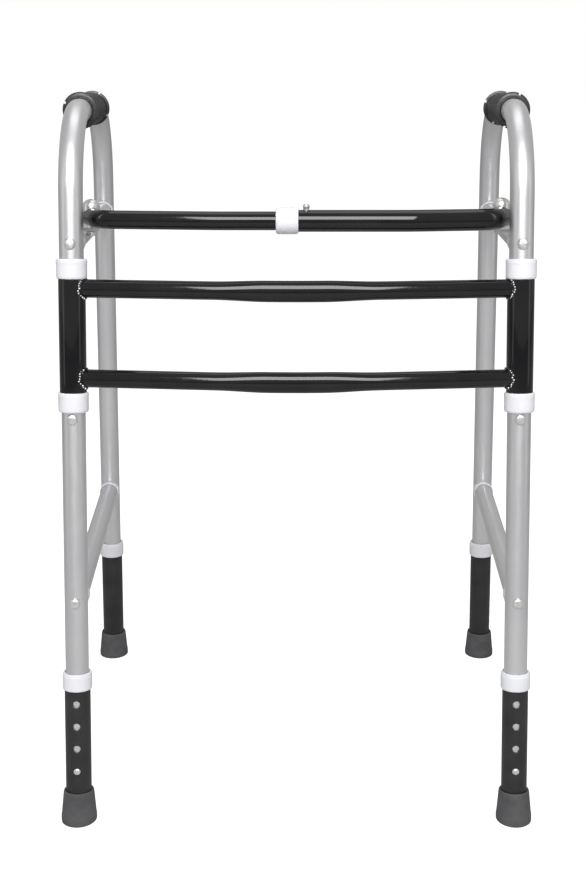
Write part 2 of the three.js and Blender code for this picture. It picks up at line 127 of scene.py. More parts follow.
def leg_frame(side, end):
    foot = Vector(mounts[f"{side}_{end}_foot"]["pos_m"])
    upward = -Vector(joints[f"{side}_{end}_height"]["axis"])
    inward = Vector(joints[f"{side}_{end}_snap_press"]["axis"])
    return axes(foot, upward, inward)


def side_frame(side):
    """X across the side frame, Y from front foot to rear foot, Z up in its plane"""
    front = Vector(mounts[f"{side}_front_foot"]["pos_m"])
    rear = Vector(mounts[f"{side}_rear_foot"]["pos_m"])
    along = (rear - front).normalized()
    upward = -Vector(joints[f"{side}_front_height"]["axis"])
    upward -= along * upward.dot(along)
    return axes(front, upward, along)


def along_y(frame_of):
    """The same frame turned so that its Z runs along the old Y"""
    turned = Matrix((Vector((1, 0, 0)), Vector((0, 0, -1)), Vector((0, 1, 0)))).transposed()
    return frame_of @ turned.to_4x4()


def measure(node, frame_of):
    """A turned CAD node in its own frame: lowest and highest Z, and largest and smallest radius"""
    back = frame_of.inverted()
    points = [back @ v.co for v in frame["nodes"][node].data.vertices]
    radii = [math.hypot(p.x, p.y) for p in points]
    heights = [p.z for p in points]
    return min(heights), max(heights), max(radii), min(radii)


def centre(node):
    low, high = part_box(node)
    return (low + high) / 2


# ---------------------------------------------------------------- meshes


def skin(name, rings, closed=False, capped=True):
    """A mesh through rings of equal length; closed joins the last ring to the first"""
    count = len(rings[0])
    mesh = bmesh.new()
    rows = [[mesh.verts.new(p) for p in ring] for ring in rings]
    pairs = list(zip(rows, rows[1:]))
    if closed:
        pairs.append((rows[-1], rows[0]))
    for a, b in pairs:
        for i in range(count):
            j = (i + 1) % count
            mesh.faces.new((a[i], a[j], b[j], b[i]))
    if capped and not closed:
        mesh.faces.new(list(reversed(rows[0])))
        mesh.faces.new(rows[-1])
    bmesh.ops.recalc_face_normals(mesh, faces=mesh.faces)
    return finished(name, mesh)


def finished(name, mesh, sharp=38):
    data = bpy.data.meshes.new(name)
    mesh.to_mesh(data)
    mesh.free()
    for polygon in data.polygons:
        polygon.use_smooth = True
    data.set_sharp_from_angle(angle=math.radians(sharp))
    piece = bpy.data.objects.new(name, data)
    bpy.context.scene.collection.objects.link(piece)
    return piece


def rounded(corners, radius, closed, steps=4):
    """The outline of [radius, height] corners with each corner turned into an arc"""
    points = []
    count = len(corners)
    for i, here in enumerate(corners):
        here = Vector(here)
        if not closed and i in (0, count - 1):
            points.append(here)
            continue
        before = Vector(corners[i - 1]) - here
        after = Vector(corners[(i + 1) % count]) - here
        reach = min(radius, before.length * 0.45, after.length * 0.45)
        start = here + before.normalized() * reach
        end = here + after.normalized() * reach
        for k in range(steps + 1):
            t = k / steps
            points.append(start * (1 - t) ** 2 + here * 2 * t * (1 - t) + end * t * t)
    return points


def turned(name, corners, place, radius=0.5 * MM, closed=True, sides=ROUND):
    """A body turned about Z; an outline that isn't closed starts and ends on the axis"""
    outline = rounded(corners, radius, closed)
    rings = []
    for point in outline:
        reach = max(point.x, 1e-5)
        angles = [2 * math.pi * k / sides for k in range(sides)]
        rings.append([place @ Vector((reach * math.cos(a), reach * math.sin(a), point.y)) for a in angles])
    return skin(name, rings, closed=closed)


def bent_path(corners, radii, steps=20):
    """Points and headings of straight runs joined by round bends"""
    heading = [(b - a).normalized() for a, b in zip(corners, corners[1:])]
    points = [(corners[0], heading[0])]
    for i, radius in enumerate(radii):
        before, after = heading[i], heading[i + 1]
        angle = before.angle(after)
        reach = radius * math.tan(angle / 2)
        inward = (after - before * math.cos(angle)) / math.sin(angle)
        start = corners[i + 1] - before * reach
        for k in range(steps + 1):
            a = angle * k / steps
            place = start + before * radius * math.sin(a) + inward * radius * (1 - math.cos(a))
            points.append((place, before * math.cos(a) + inward * math.sin(a)))
    points.append((corners[-1], heading[-1]))
    return points


def subdivided(points, longest):
    """The same path with no straight run longer than the given length"""
    made = [points[0]]
    for (a, ha), (b, hb) in zip(points, points[1:]):
        count = max(1, math.ceil((b - a).length / longest))
        for k in range(1, count + 1):
            t = k / count
            made.append((a.lerp(b, t), ha.lerp(hb, t).normalized()))
    return made


def swept(name, path, outer, inner, side_hint, stretch=None, sides=ROUND):
    """A tube along a path that bends in the plane square to side_hint, its ends cut square"""
    across = Vector(side_hint).normalized()

    def ring(place, heading, radius):
        other = heading.cross(across).normalized()
        flat = other.cross(heading).normalized()
        wide, tall = stretch(place) if stretch else (1, 1)
        made = []
        for k in range(sides):
            a = 2 * math.pi * k / sides
            made.append(place + flat * radius * tall * math.cos(a) + other * radius * wide * math.sin(a))
        return made

    lip = 0.35 * MM
    first, last = path[0], path[-1]
    rings = [ring(first[0], first[1], outer - lip)]
    rings.append(ring(first[0] + first[1] * lip, first[1], outer))
    rings += [ring(place, heading, outer) for place, heading in path[1:-1]]
    rings.append(ring(last[0] - last[1] * lip, last[1], outer))
    rings.append(ring(last[0], last[1], outer - lip))
    rings += [ring(place, heading, inner) for place, heading in reversed(path)]
    return skin(name, rings, closed=True)


def cut(piece, *cutters):
    """Takes the cutters out of a piece and removes them"""
    for cutter in cutters:
        step = piece.modifiers.new("cut", "BOOLEAN")
        step.operation = "DIFFERENCE"
        step.solver = "EXACT"
        step.object = cutter
        shape = piece.evaluated_get(bpy.context.evaluated_depsgraph_get())
        data = bpy.data.meshes.new_from_object(shape)
        piece.modifiers.clear()
        old = piece.data
        piece.data = data
        bpy.data.meshes.remove(old)
        bpy.data.objects.remove(cutter)
    for polygon in piece.data.polygons:
        polygon.use_smooth = True
    piece.data.set_sharp_from_angle(angle=math.radians(38))
    return piece


def pin(place, radius, low, high, sides=SMALL_ROUND):
    """A plain rod along Z, only used to cut with"""
    rings = []
    for height in (low, high):
        angles = [2 * math.pi * k / sides for k in range(sides)]
        rings.append([place @ Vector((radius * math.cos(a), radius * math.sin(a), height)) for a in angles])
    return skin("cutter", rings)


def joined(name, pieces):
    """Several loose shapes as one piece"""
    mesh = bmesh.new()
    for piece in pieces:
        mesh.from_mesh(piece.data)
        bpy.data.objects.remove(piece)
    return finished(name, mesh)


# ---------------------------------------------------------------- materials


class Look:
    """A procedural material on the Principled shader"""

    def __init__(self, name, roughness, metallic=0.0, **constant):
        self.made = bpy.data.materials.new(name)
        self.made.use_nodes = True
        self.tree = self.made.node_tree
        self.shader = self.tree.nodes["Principled BSDF"]
        self.shader.inputs["Metallic"].default_value = metallic
        self.shader.inputs["Roughness"].default_value = roughness
        for key, value in constant.items():
            self.shader.inputs[key.replace("_", " ")].default_value = value
        self.place = self.tree.nodes.new("ShaderNodeTexCoord").outputs["Object"]

    def link(self, a, b):
        self.tree.links.new(a, b)

    def noise(self, scale, stretch=(1, 1, 1), detail=3.0):
        """Noise of so many features to a metre"""
        mapping = self.tree.nodes.new("ShaderNodeMapping")
        mapping.inputs["Scale"].default_value = stretch
        self.link(self.place, mapping.inputs["Vector"])
        texture = self.tree.nodes.new("ShaderNodeTexNoise")
        texture.inputs["Scale"].default_value = scale
        texture.inputs["Detail"].default_value = detail
        self.link(mapping.outputs["Vector"], texture.inputs["Vector"])
        return texture.outputs["Fac"]

    def ramp(self, source, low, high, low_value, high_value):
        node = self.tree.nodes.new("ShaderNodeMapRange")
        values = {"From Min": low, "From Max": high, "To Min": low_value, "To Max": high_value}
        for key, value in values.items():
            node.inputs[key].default_value = value
        self.link(source, node.inputs["Value"])
        return node.outputs["Result"]

    def colour(self, source, dark, light):
        node = self.tree.nodes.new("ShaderNodeValToRGB")
        node.color_ramp.elements[0].position = 0.35
        node.color_ramp.elements[1].position = 0.65
        node.color_ramp.elements[0].color = (*dark, 1)
        node.color_ramp.elements[1].color = (*light, 1)
        self.link(source, node.inputs["Fac"])
        self.link(node.outputs["Color"], self.shader.inputs["Base Color"])

    def roughness(self, source, low, high):
        self.link(self.ramp(source, 0.3, 0.7, low, high), self.shader.inputs["Roughness"])

    def bump(self, source, height, strength=1.0):
        node = self.tree.nodes.new("ShaderNodeBump")
        node.inputs["Strength"].default_value = strength
        node.inputs["Distance"].default_value = height
        self.link(source, node.inputs["Height"])
        self.link(node.outputs["Normal"], self.shader.inputs["Normal"])


def anodised_aluminium():
    look = Look("anodised_aluminium", 0.3, metallic=1.0)
    drawn = look.noise(420, stretch=(1, 1, 0.06))
    look.colour(look.noise(14), (0.68, 0.68, 0.70), (0.72, 0.72, 0.735))
    look.roughness(drawn, 0.38, 0.44)
    look.bump(drawn, 0.01 * MM, 0.15)
    return look.made


def black_gloss_paint():
    look = Look("black_gloss_paint", 0.08, Coat_Weight=0.2, Coat_Roughness=0.03, Specular_IOR_Level=0.3)
    look.colour(look.noise(30), (0.004, 0.004, 0.005), (0.007, 0.007, 0.008))
    look.roughness(look.noise(90), 0.06, 0.1)
    look.bump(look.noise(120, detail=1.0), 0.03 * MM, 0.1)
    return look.made


def satin_black_coat():
    look = Look("satin_black_coat", 0.45, Specular_IOR_Level=0.3)
    look.colour(look.noise(40), (0.018, 0.0175, 0.018), (0.026, 0.025, 0.026))
    look.roughness(look.noise(700), 0.4, 0.52)
    look.bump(look.noise(1500, detail=1.0), 0.04 * MM, 0.35)
    return look.made


def white_plastic():
    look = Look("white_plastic", 0.38, Subsurface_Weight=0.06, Subsurface_Scale=0.002)
    look.colour(look.noise(25), (0.67, 0.675, 0.71), (0.71, 0.715, 0.75))
    look.roughness(look.noise(400), 0.33, 0.43)
    look.bump(look.noise(500, detail=2.0), 0.03 * MM, 0.25)
    return look.made


def rubber():
    look = Look("rubber", 0.75)
    look.colour(look.noise(60), (0.054, 0.054, 0.058), (0.074, 0.074, 0.078))
    look.roughness(look.noise(500), 0.66, 0.84)
    look.bump(look.noise(1200, detail=2.0), 0.08 * MM, 0.5)
    return look.made


def grip_plastic():
    look = Look("grip_plastic", 0.5)
    look.colour(look.noise(50), (0.016, 0.016, 0.018), (0.026, 0.026, 0.029))
    look.roughness(look.noise(600), 0.3, 0.42)
    look.bump(look.noise(1400, detail=2.0), 0.06 * MM, 0.4)
    return look.made


def zinc_steel():
    look = Look("zinc_steel", 0.2, metallic=1.0)
    look.colour(look.noise(200), (0.72, 0.72, 0.71), (0.80, 0.80, 0.79))
    look.roughness(look.noise(500), 0.28, 0.4)
    look.bump(look.noise(900, detail=1.0), 0.02 * MM, 0.25)
    return look.made


def spring_steel():
    look = Look("spring_steel", 0.3, metallic=1.0)
    look.colour(look.noise(150), (0.36, 0.36, 0.38), (0.46, 0.46, 0.48))
    look.roughness(look.noise(500), 0.24, 0.36)
    return look.made


makers = (anodised_aluminium, black_gloss_paint, satin_black_coat, white_plastic, rubber, grip_plastic,
          zinc_steel, spring_steel)
looks = {maker.__name__: maker() for maker in makers}


def dress(piece, body, look, *nodes):
    """Gives a piece its material, its body and the CAD nodes that it stands for"""
    piece.data.materials.clear()
    piece.data.materials.append(looks[look])
    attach(piece, body)
    if nodes:
        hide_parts(*nodes)
    return piece


def recolour(node, look):
    """Gives a CAD node that stays in sight its material"""
    slots = frame["nodes"][node].data.materials
    slots.clear()
    slots.append(looks[look])


# ---------------------------------------------------------------- legs


def ring_body(name, node, place, outline, body, look, radius=0.5 * MM):
    """A turned piece whose outline is made from the measured CAD node"""
    return dress(turned(name, outline(*measure(node, place)), place, radius), body, look, node)


def collar_outline(low, high, outer, inner):
    """A thick collar: softer at the bottom edge, with a narrow step near the top"""
    wall = outer - inner
    return [
        (inner + 0.25 * wall, low),
        (outer - 0.35 * MM, low),
        (outer, low + 1.6 * MM),
        (outer, high - 3.2 * MM),
        (outer - 0.5 * MM, high - 2.6 * MM),
        (outer - 0.5 * MM, high - 0.9 * MM),
        (outer - 1.3 * MM, high),
        (inner, high),
        (inner, high - 0.4 * (high - low)),
        (inner + 0.25 * wall, high - 0.42 * (high - low)),
    ]


def build_extension(side, end):
    place = leg_frame(side, end)
    body = f"{side}_{end}_leg"
    node = f"{side}_{end}_extension"
    low, high, outer, inner = measure(node, place)
    outline = [(inner, low), (outer, low), (outer, high), (inner, high)]
    sleeve = turned(f"{node}_tube", outline, place, 0.3 * MM, sides=96)
    low_hole = (place.inverted() @ centre(f"{side}_{end}_button")).z
    out = Matrix.Rotation(math.pi / 2, 4, "X")
    for k in range(HOLES):
        lift = Matrix.Translation((0, 0, low_hole + k * HOLE_PITCH))
        cut(sleeve, pin(place @ lift @ out, HOLE_R, 8 * MM, 20 * MM))
    dress(sleeve, body, "satin_black_coat", node)
    collar = f"{side}_{end}_collar"
    ring_body(collar + "_ring", collar, place, collar_outline, body, "white_plastic")


def build_tip(side, end):
    """The rubber tip: a lip round its mouth, a waist and a flared foot cut level with the floor"""
    place = leg_frame(side, end)
    node = f"{side}_{end}_tip"
    extension = measure(f"{side}_{end}_extension", place)[2]
    _, high, foot, _ = measure(node, place)
    mouth = extension + CONTACT
    outline = [
        (1e-5, -6 * MM),
        (foot - 0.3 * MM, -6 * MM),
        (foot, 1.5 * MM),
        (foot, 5.5 * MM),
        (foot - 0.6 * MM, 9 * MM),
        (foot - 1.3 * MM, 17 * MM),
        (foot - 2.2 * MM, 27 * MM),
        (foot - 2.6 * MM, high - 3.5 * MM),
        (foot - 3.1 * MM, high - 0.8 * MM),
        (mouth + 1.0 * MM, high),
        (mouth, high - 0.5 * MM),
        (mouth, extension * 0.6),
        (1e-5, extension * 0.6),
    ]
    tip = turned(f"{node}_rubber", outline, place, 1.4 * MM, closed=False, sides=96)
    ground = Matrix.Translation((place.translation.x, place.translation.y, -30 * MM))
    floor_block = skin("cutter", [[ground @ Vector((x * 60 * MM, y * 60 * MM, z * 30 * MM)) for x, y in
                                  ((-1, -1), (1, -1), (1, 1), (-1, 1))] for z in (-1, 1)])
    cut(tip, floor_block)
    dress(tip, f"{side}_{end}_leg", "rubber", node)


def build_button(side, end):
    place = leg_frame(side, end)
    node = f"{side}_{end}_button"
    height = (place.inverted() @ centre(node)).z
    out = place @ Matrix.Translation((0, 0, height)) @ Matrix.Rotation(math.pi / 2, 4, "X")
    low, high, flange, _ = measure(node, out)
    outline = [
        (1e-5, low),
        (flange, low),
        (flange, low + 1 * MM),
        (BUTTON_R, low + 1 * MM),
        (BUTTON_R, high - 1.9 * MM),
        (BUTTON_R * 0.86, high - 0.8 * MM),
        (BUTTON_R * 0.5, high - 0.15 * MM),
        (1e-5, high),
    ]
    button = turned(f"{node}_pin", outline, out, 0.8 * MM, closed=False, sides=SMALL_ROUND)
    dress(button, f"{side}_{end}_snap", "zinc_steel", node)


# ---------------------------------------------------------------- side frames


def build_side_tube(side):
    """One inverted U: front leg, arch and rear leg, drilled for the buttons"""
    plane = side_frame(side)
    front, rear = leg_frame(side, "front"), leg_frame(side, "rear")
    arch = (plane.inverted() @ centre(f"{side}_grip")).z
    radius = measure(f"{side}_front_extension", front)[3] - 0.35 * MM

    def on_leg(place, height):
        """Where a leg's centre line reaches a height in the side frame"""
        foot = plane.inverted() @ place.translation
        up = plane.inverted().to_3x3() @ place.to_3x3() @ Vector((0, 0, 1))
        return place.translation + plane.to_3x3() @ (up * ((height - foot.z) / up.z))

    corners = [
        front @ Vector((0, 0, LEG_END)),
        on_leg(front, arch),
        on_leg(rear, arch),
        rear @ Vector((0, 0, LEG_END)),
    ]
    path = bent_path(corners, (ARCH_BEND, ARCH_BEND), steps=28)
    across = plane.to_3x3() @ Vector((1, 0, 0))
    tube = swept(f"{side}_frame_tube", path, radius, radius - LEG_WALL, across, sides=96)
    for place, end in ((front, "front"), (rear, "rear")):
        height = (place.inverted() @ centre(f"{side}_{end}_button")).z
        out = place @ Matrix.Translation((0, 0, height)) @ Matrix.Rotation(math.pi / 2, 4, "X")
        cut(tube, pin(out, BUTTON_HOLE_R, 8 * MM, 20 * MM))
    dress(tube, f"{side}_side", "anodised_aluminium", f"{side}_side_tube")


def build_crossbar(side, level):
    body = f"{side}_side"
    node = f"{side}_{level}_crossbar"
    middle = centre(node)
    plane = side_frame(side)
    place = along_y(plane)
    place.translation = middle
    low, high, outer, inner = measure(node, place)
    bar = turned(f"{node}_tube", [(inner, low), (outer, low), (outer, high), (inner, high)], place, 0.3 * MM)
    dress(bar, body, "anodised_aluminium", node)
    for end, outwards in (("front", -1), ("rear", 1)):
        build_saddle(side, level, end, place, outwards, outer)


def build_saddle(side, level, end, place, outwards, bar_radius):
    """A moulded cap between crossbar and leg, hollowed to the leg, with a soft outer lip"""
    node = f"{side}_{level}_{end}_saddle"
    low, high, outer, _ = measure(node, place)
    mouth, back = (low, high) if outwards > 0 else (high, low)
    step = 1 if outwards > 0 else -1
    socket = bar_radius + CONTACT
    leg_side = back + step * 3 * MM
    floor = measure(f"{side}_{level}_crossbar", place)[1 if outwards > 0 else 0] + step * CONTACT
    outline = [
        (1e-5, floor),
        (socket, floor),
        (socket, mouth),
        (outer - 0.5 * MM, mouth),
        (outer, mouth + step * 1.2 * MM),
        (outer, mouth + step * 3.4 * MM),
        (outer - 0.3 * MM, mouth + step * 4.2 * MM),
        (outer - 0.3 * MM, leg_side),
        (1e-5, leg_side),
    ]
    saddle = turned(f"{node}_cap", outline, place, 0.5 * MM, closed=False)
    leg = leg_frame(side, end)
    leg_radius = measure(f"{side}_front_extension", leg_frame(side, "front"))[3] - 0.35 * MM
    height = (leg.inverted() @ centre(node)).z
    cut(saddle, pin(leg, leg_radius + 0.25 * MM, height - 60 * MM, height + 60 * MM, sides=96))
    dress(saddle, f"{side}_side", "white_plastic", node)


def build_grip(side):
    """A ribbed sleeve with a notched flange at each end"""
    node = f"{side}_grip"
    place = along_y(side_frame(side))
    place.translation = centre(node)
    low, high, flange, bore = measure(node, place)
    body = flange - 3.6 * MM
    outline = [
        (bore, low),
        (bore + 2.6 * MM, low),
        (flange - 1.2 * MM, low + 0.6 * MM),
        (flange, low + 2.0 * MM),
        (flange, low + GRIP_FLANGE),
        (body + 0.9 * MM, low + GRIP_FLANGE + 0.4 * MM),
        (body, low + GRIP_FLANGE + 3 * MM),
    ]
    for k in range(GRIP_RIBS):
        at = (k - (GRIP_RIBS - 1) / 2) * GRIP_RIB_PITCH
        half = GRIP_RIB_WIDTH / 2
        outline += [
            (body, at - half),
            (body + GRIP_RIB_RISE, at - half * 0.55),
            (body + GRIP_RIB_RISE, at + half * 0.55),
            (body, at + half),
        ]
    outline += [
        (body, high - GRIP_FLANGE - 3 * MM),
        (body + 0.9 * MM, high - GRIP_FLANGE - 0.4 * MM),
        (flange, high - GRIP_FLANGE),
        (flange, high - 2.0 * MM),
        (flange - 1.2 * MM, high - 0.6 * MM),
        (bore + 2.6 * MM, high),
        (bore, high),
    ]
    grip = turned(f"{node}_sleeve", outline, place, 0.7 * MM, sides=96)
    for end in (low + GRIP_FLANGE / 2, high - GRIP_FLANGE / 2):
        for k in range(GRIP_NOTCHES):
            turn = Matrix.Rotation(math.radians(GRIP_NOTCH_TURN + 360 * k / GRIP_NOTCHES), 4, "Z")
            wide, deep, long = GRIP_NOTCH_WIDTH / 2, GRIP_NOTCH_DEPTH, GRIP_FLANGE * 0.62
            inside, outside = flange - deep, flange + deep
            corners = ((inside, -wide), (outside, -wide), (outside, wide), (inside, wide))
            block = [[place @ turn @ Vector((x, y, end + z * long)) for x, y in corners] for z in (-1, 1)]
            cut(grip, skin("cutter", block))
    dress(grip, f"{side}_side", "grip_plastic", node)


def build_screw(side, which):
    """A flattened head on a short shank: slotted on the bolts, crimped at the rim on the collar screw"""
    node = f"{side}_{which}"
    place = leg_frame(side, "front")
    height = (place.inverted() @ centre(node)).z
    out = place @ Matrix.Translation((0, 0, height)) @ Matrix.Rotation(math.pi / 2, 4, "X")
    low, high, head, _ = measure(node, out)
    seat = high - SCREW_HEAD
    outline = [
        (1e-5, low),
        (SCREW_SHANK_R, low),
        (SCREW_SHANK_R, seat),
        (head, seat),
        (head, seat + 1.2 * MM),
        (head * 0.88, seat + 2.3 * MM),
        (head * 0.6, high - 0.2 * MM),
        (1e-5, high),
    ]
    screw = turned(f"{node}_head", outline, out, 0.6 * MM, closed=False, sides=48)
    if which == "collar_screw":
        for vertex in screw.data.vertices:
            local = out.inverted() @ vertex.co
            reach = math.hypot(local.x, local.y)
            if reach > head * 0.9:
                scale = 1 - 0.07 * (0.5 + 0.5 * math.cos(12 * math.atan2(local.y, local.x)))
                vertex.co = out @ Vector((local.x * scale, local.y * scale, local.z))
    else:
        wide, long = SCREW_SLOT, head * 0.62
        top = high + 1 * MM
        corners = ((-wide, -long), (wide, -long), (wide, long), (-wide, long))
        turn = Matrix.Rotation(math.radians(35), 4, "Z")
        block = [[out @ turn @ Vector((x, y, z)) for x, y in corners] for z in (high - 1.1 * MM, top)]
        cut(screw, skin("cutter", block))
    dress(screw, f"{side}_side", "zinc_steel", node)


# ---------------------------------------------------------------- H-frame


def build_sleeve(side):
    place = leg_frame(side, "front")
    node = f"{side}_sleeve"

    def plain(low, high, outer, inner):
        return [(inner, low), (outer, low), (outer, high), (inner, high)]

    def bush(low, high, outer, inner):
        return [
            (inner, low),
            (outer - 0.9 * MM, low),
            (outer - 0.2 * MM, low + 2.2 * MM),
            (outer - 0.2 * MM, high - 5.5 * MM),
            (outer, high - 4.6 * MM),
            (outer, high - 1.4 * MM),
            (outer - 0.8 * MM, high),
            (inner, high),
        ]

    ring_body(f"{node}_tube", node, place, plain, "front_frame", "black_gloss_paint", 0.4 * MM)
    for which in ("upper_bush", "lower_bush"):
        name = f"{side}_{which}"
        ring_body(name + "_ring", name, place, bush, "front_frame", "white_plastic", 0.8 * MM)


def build_h_bar(level):
    """A crossbar of the H-frame: bowed away from the user, its middle pressed to a taller oval"""
    node = f"front_{level}_crossbar"
    low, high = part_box(node)
    height = (low.z + high.z) / 2
    ends = []
    for side in ("left", "right"):
        place = leg_frame(side, "front")
        up = place.to_3x3() @ Vector((0, 0, 1))
        ends.append(place.translation + up * (height / up.z))
    radius = (high.z - low.z) / 2 / math.cos(math.pi / 16)
    apex = low.y + radius
    bow = bow_corner((ends[0].y - apex), abs(ends[0].x))
    corners = [ends[0], Vector((0, ends[0].y - bow, height)), ends[1]]
    path = subdivided(bent_path(corners, (H_BOW_BEND,), steps=24), 6 * MM)

    def oval(place):
        t = max(0.0, min(1.0, 1.5 - abs(place.x) / OVAL_HALF_LENGTH))
        share = t * t * (3 - 2 * t)
        return 1 - 0.14 * share, 1 + (OVAL_TALL - 1) * share

    bar = swept(f"{node}_tube", path, radius, radius - BAR_WALL, (0, 0, 1), stretch=oval)
    for side in ("left", "right"):
        place = leg_frame(side, "front")
        low_z, high_z, outer, _ = measure(f"{side}_sleeve", place)
        cut(bar, pin(place, outer - 0.2 * MM, low_z - 40 * MM, high_z + 40 * MM, sides=96))
    dress(bar, "front_frame", "black_gloss_paint", node)
    for side in ("left", "right"):
        build_weld(side, level, height, radius, path)


def bow_corner(depth, half_span):
    """How far the corner of the bow stands out, for a bow whose rounded middle reaches the depth"""
    corner = depth
    for _ in range(20):
        slope = math.atan2(corner, half_span)
        corner = depth + H_BOW_BEND * (1 / math.cos(slope) - 1)
    return corner


def build_weld(side, level, height, radius, path):
    """The lumpy bead round the joint of crossbar and sleeve, with small bright metal balls along it as painted
    glints
    """
    place = leg_frame(side, "front")
    low, high, sleeve, _ = measure(f"{side}_sleeve", place)
    start, heading = (path[0] if side == "left" else path[-1])
    along = heading * (1 if side == "left" else -1)
    rings = []
    glint_places = []
    for k in range(WELD_STEPS):
        a = 2 * math.pi * k / WELD_STEPS
        other = along.cross(Vector((0, 0, 1))).normalized()
        ray = Vector((0, 0, 1)) * math.cos(a) + other * math.sin(a)
        on_bar = start + ray * radius
        seat = on_bar + along * on_sleeve(on_bar, along, place, sleeve)
        # every so many steps, a place for a painted glint: a bright metal ball on the black weld
        if k % GLINT_DROP_STEP == 0:
            drift = noise.noise(Vector((k * 0.61, height * 50, place.translation.x * 9)))
            glint_place = seat + ray * 1.5 * MM - along * (0.6 + 2.4 * drift) * MM
            glint_places.append((glint_place, 0.95 * MM + 0.7 * MM * abs(drift)))
        ring = []
        for j in range(WELD_SIDES):
            b = 2 * math.pi * j / WELD_SIDES
            grain = (seat + ray * 2 * MM * math.cos(b) + along * 2 * MM * math.sin(b)) / (1.5 * MM)
            swell = WELD_R + WELD_LUMP * noise.noise(grain)
            ring.append(seat + ray * swell * math.cos(b) + along * swell * math.sin(b))
        rings.append(ring)
    weld = skin(f"{side}_{level}_weld", rings, closed=True)
    cut(weld, pin(place, sleeve - WELD_SKIN, low, high, sides=96))
    dress(weld, "front_frame", "black_gloss_paint")
    # painted glints: small balls in bright zinc steel on the black painted weld, standing in for highlights
    glint_mesh = bmesh.new()
    for glint_place, size in glint_places:
        bmesh.ops.create_icosphere(glint_mesh, subdivisions=2, radius=size, matrix=Matrix.Translation(glint_place))
    glint_beads = finished(f"{side}_{level}_spatter", glint_mesh)
    cut(glint_beads, pin(place, sleeve - WELD_SKIN, low, high, sides=96))
    dress(glint_beads, "front_frame", "zinc_steel")


def on_sleeve(point, along, place, radius):
    """How far along a line from a point inside the sleeve its surface lies"""
    back = place.inverted()
    p = back @ point
    d = back.to_3x3() @ along
    a = d.x * d.x + d.y * d.y
    b = 2 * (p.x * d.x + p.y * d.y)
    c = p.x * p.x + p.y * p.y - radius * radius
    return (-b + math.sqrt(max(0.0, b * b - 4 * a * c))) / (2 * a)


# ---------------------------------------------------------------- telescopic bar


def bar_path(start, straight_to, elbow, pivot):
    y = centre("bar_collar").y
    corners = [
        Vector((start, y, pivot.z)),
        Vector((straight_to, y, pivot.z)),
        Vector((elbow, y + ELBOW_BACK, pivot.z)),
    ]
    stub = pivot - corners[2]
    corners.append(corners[2] + stub + stub.normalized() * BAR_STUB)
    return bent_path(corners, BAR_BENDS, steps=16)


def build_bar():
    left = Vector(joints["bar_pivot"]["pos_m"])
    right = Vector((-left.x, left.y, left.z))
    lock = centre("bar_button")
    halves = (
        ("inner", "bar_left_half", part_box("bar_inner")[1].x, -INNER_STRAIGHT, -ELBOW_X, left, INNER_R),
        ("outer", "bar_right_half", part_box("bar_outer")[0].x, OUTER_STRAIGHT, ELBOW_X, right, OUTER_R),
    )
    for name, body, start, straight, elbow, pivot, (outer, inner) in halves:
        path = bar_path(start, straight, elbow, pivot)
        half = swept(f"bar_{name}_tube", path, outer, inner, (0, 0, 1))
        axis = axes(pivot, joints["bar_pivot"]["axis"], (0, 1, 0))
        if name == "outer":
            axis = axes(pivot, mirrored(joints["bar_pivot"]["axis"]), (0, 1, 0))
        cut(half, pin(axis, PIVOT_BORE, -30 * MM, 30 * MM))
        upright = Matrix.Translation((lock.x, lock.y, left.z))
        cut(half, pin(upright, LOCK_BORE, 0, 16 * MM))
        dress(half, body, "black_gloss_paint", f"bar_{name}")
        build_pivot_bolt(name, body, axis, path, outer)
    build_bar_collar(left.z)
    build_lock(lock, left.z)


def mirrored(direction):
    return (-direction[0], direction[1], direction[2])


def build_pivot_bolt(name, body, axis, path, radius):
    """A domed push-on cap seated on the bar's end, on a bolt that goes through it"""
    node = "left_pivot_bolt" if name == "inner" else "right_pivot_bolt"
    low, high, cap, _ = measure(node, axis)
    outline = [
        (1e-5, radius - 5 * MM),
        (cap, radius - 5 * MM),
        (cap, radius + 2.2 * MM),
        (cap * 0.93, radius + 4.4 * MM),
        (cap * 0.72, radius + 6.9 * MM),
        (cap * 0.38, high - 0.5 * MM),
        (1e-5, high),
    ]
    dome = turned(f"{node}_cap", outline, axis, 1.6 * MM, closed=False)
    cut(dome, swept("cutter", path, radius + CONTACT, radius * 0.2, (0, 0, 1)),
        pin(along_y(axis), radius * 0.4, -30 * MM, 30 * MM))
    top = radius + 3 * MM
    shank = [(1e-5, low), (PIVOT_R, low), (PIVOT_R, top), (1e-5, top)]
    parts = [dome]
    if name == "inner":
        nut = low + NUT_HEIGHT
        shank = [(1e-5, low), (NUT_R, low), (NUT_R, nut), (PIVOT_R, nut), (PIVOT_R, top), (1e-5, top)]
    parts.append(turned("shank", shank, axis, 0.4 * MM, closed=False, sides=SMALL_ROUND))
    dress(joined(f"{node}_assembly", parts), body, "zinc_steel", node)


def build_bar_collar(height):
    node = "bar_collar"
    middle = centre(node)
    place = axes(Vector((0, middle.y, height)), (1, 0, 0), (0, 0, 1))
    low, high, outer, inner = measure(node, place)
    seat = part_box("bar_outer")[0].x - CONTACT
    outline = [
        (inner, low),
        (outer - 1.4 * MM, low),
        (outer, low + 1.8 * MM),
        (outer, high - 3.0 * MM),
        (outer - 0.4 * MM, high - 2.4 * MM),
        (outer - 0.4 * MM, high - 0.7 * MM),
        (outer - 1.1 * MM, high),
        (COLLAR_SOCKET_R, high),
        (COLLAR_SOCKET_R, seat),
        (inner, seat),
    ]
    dress(turned(f"{node}_ring", outline, place, 1.0 * MM), "bar_right_half", "white_plastic", node)


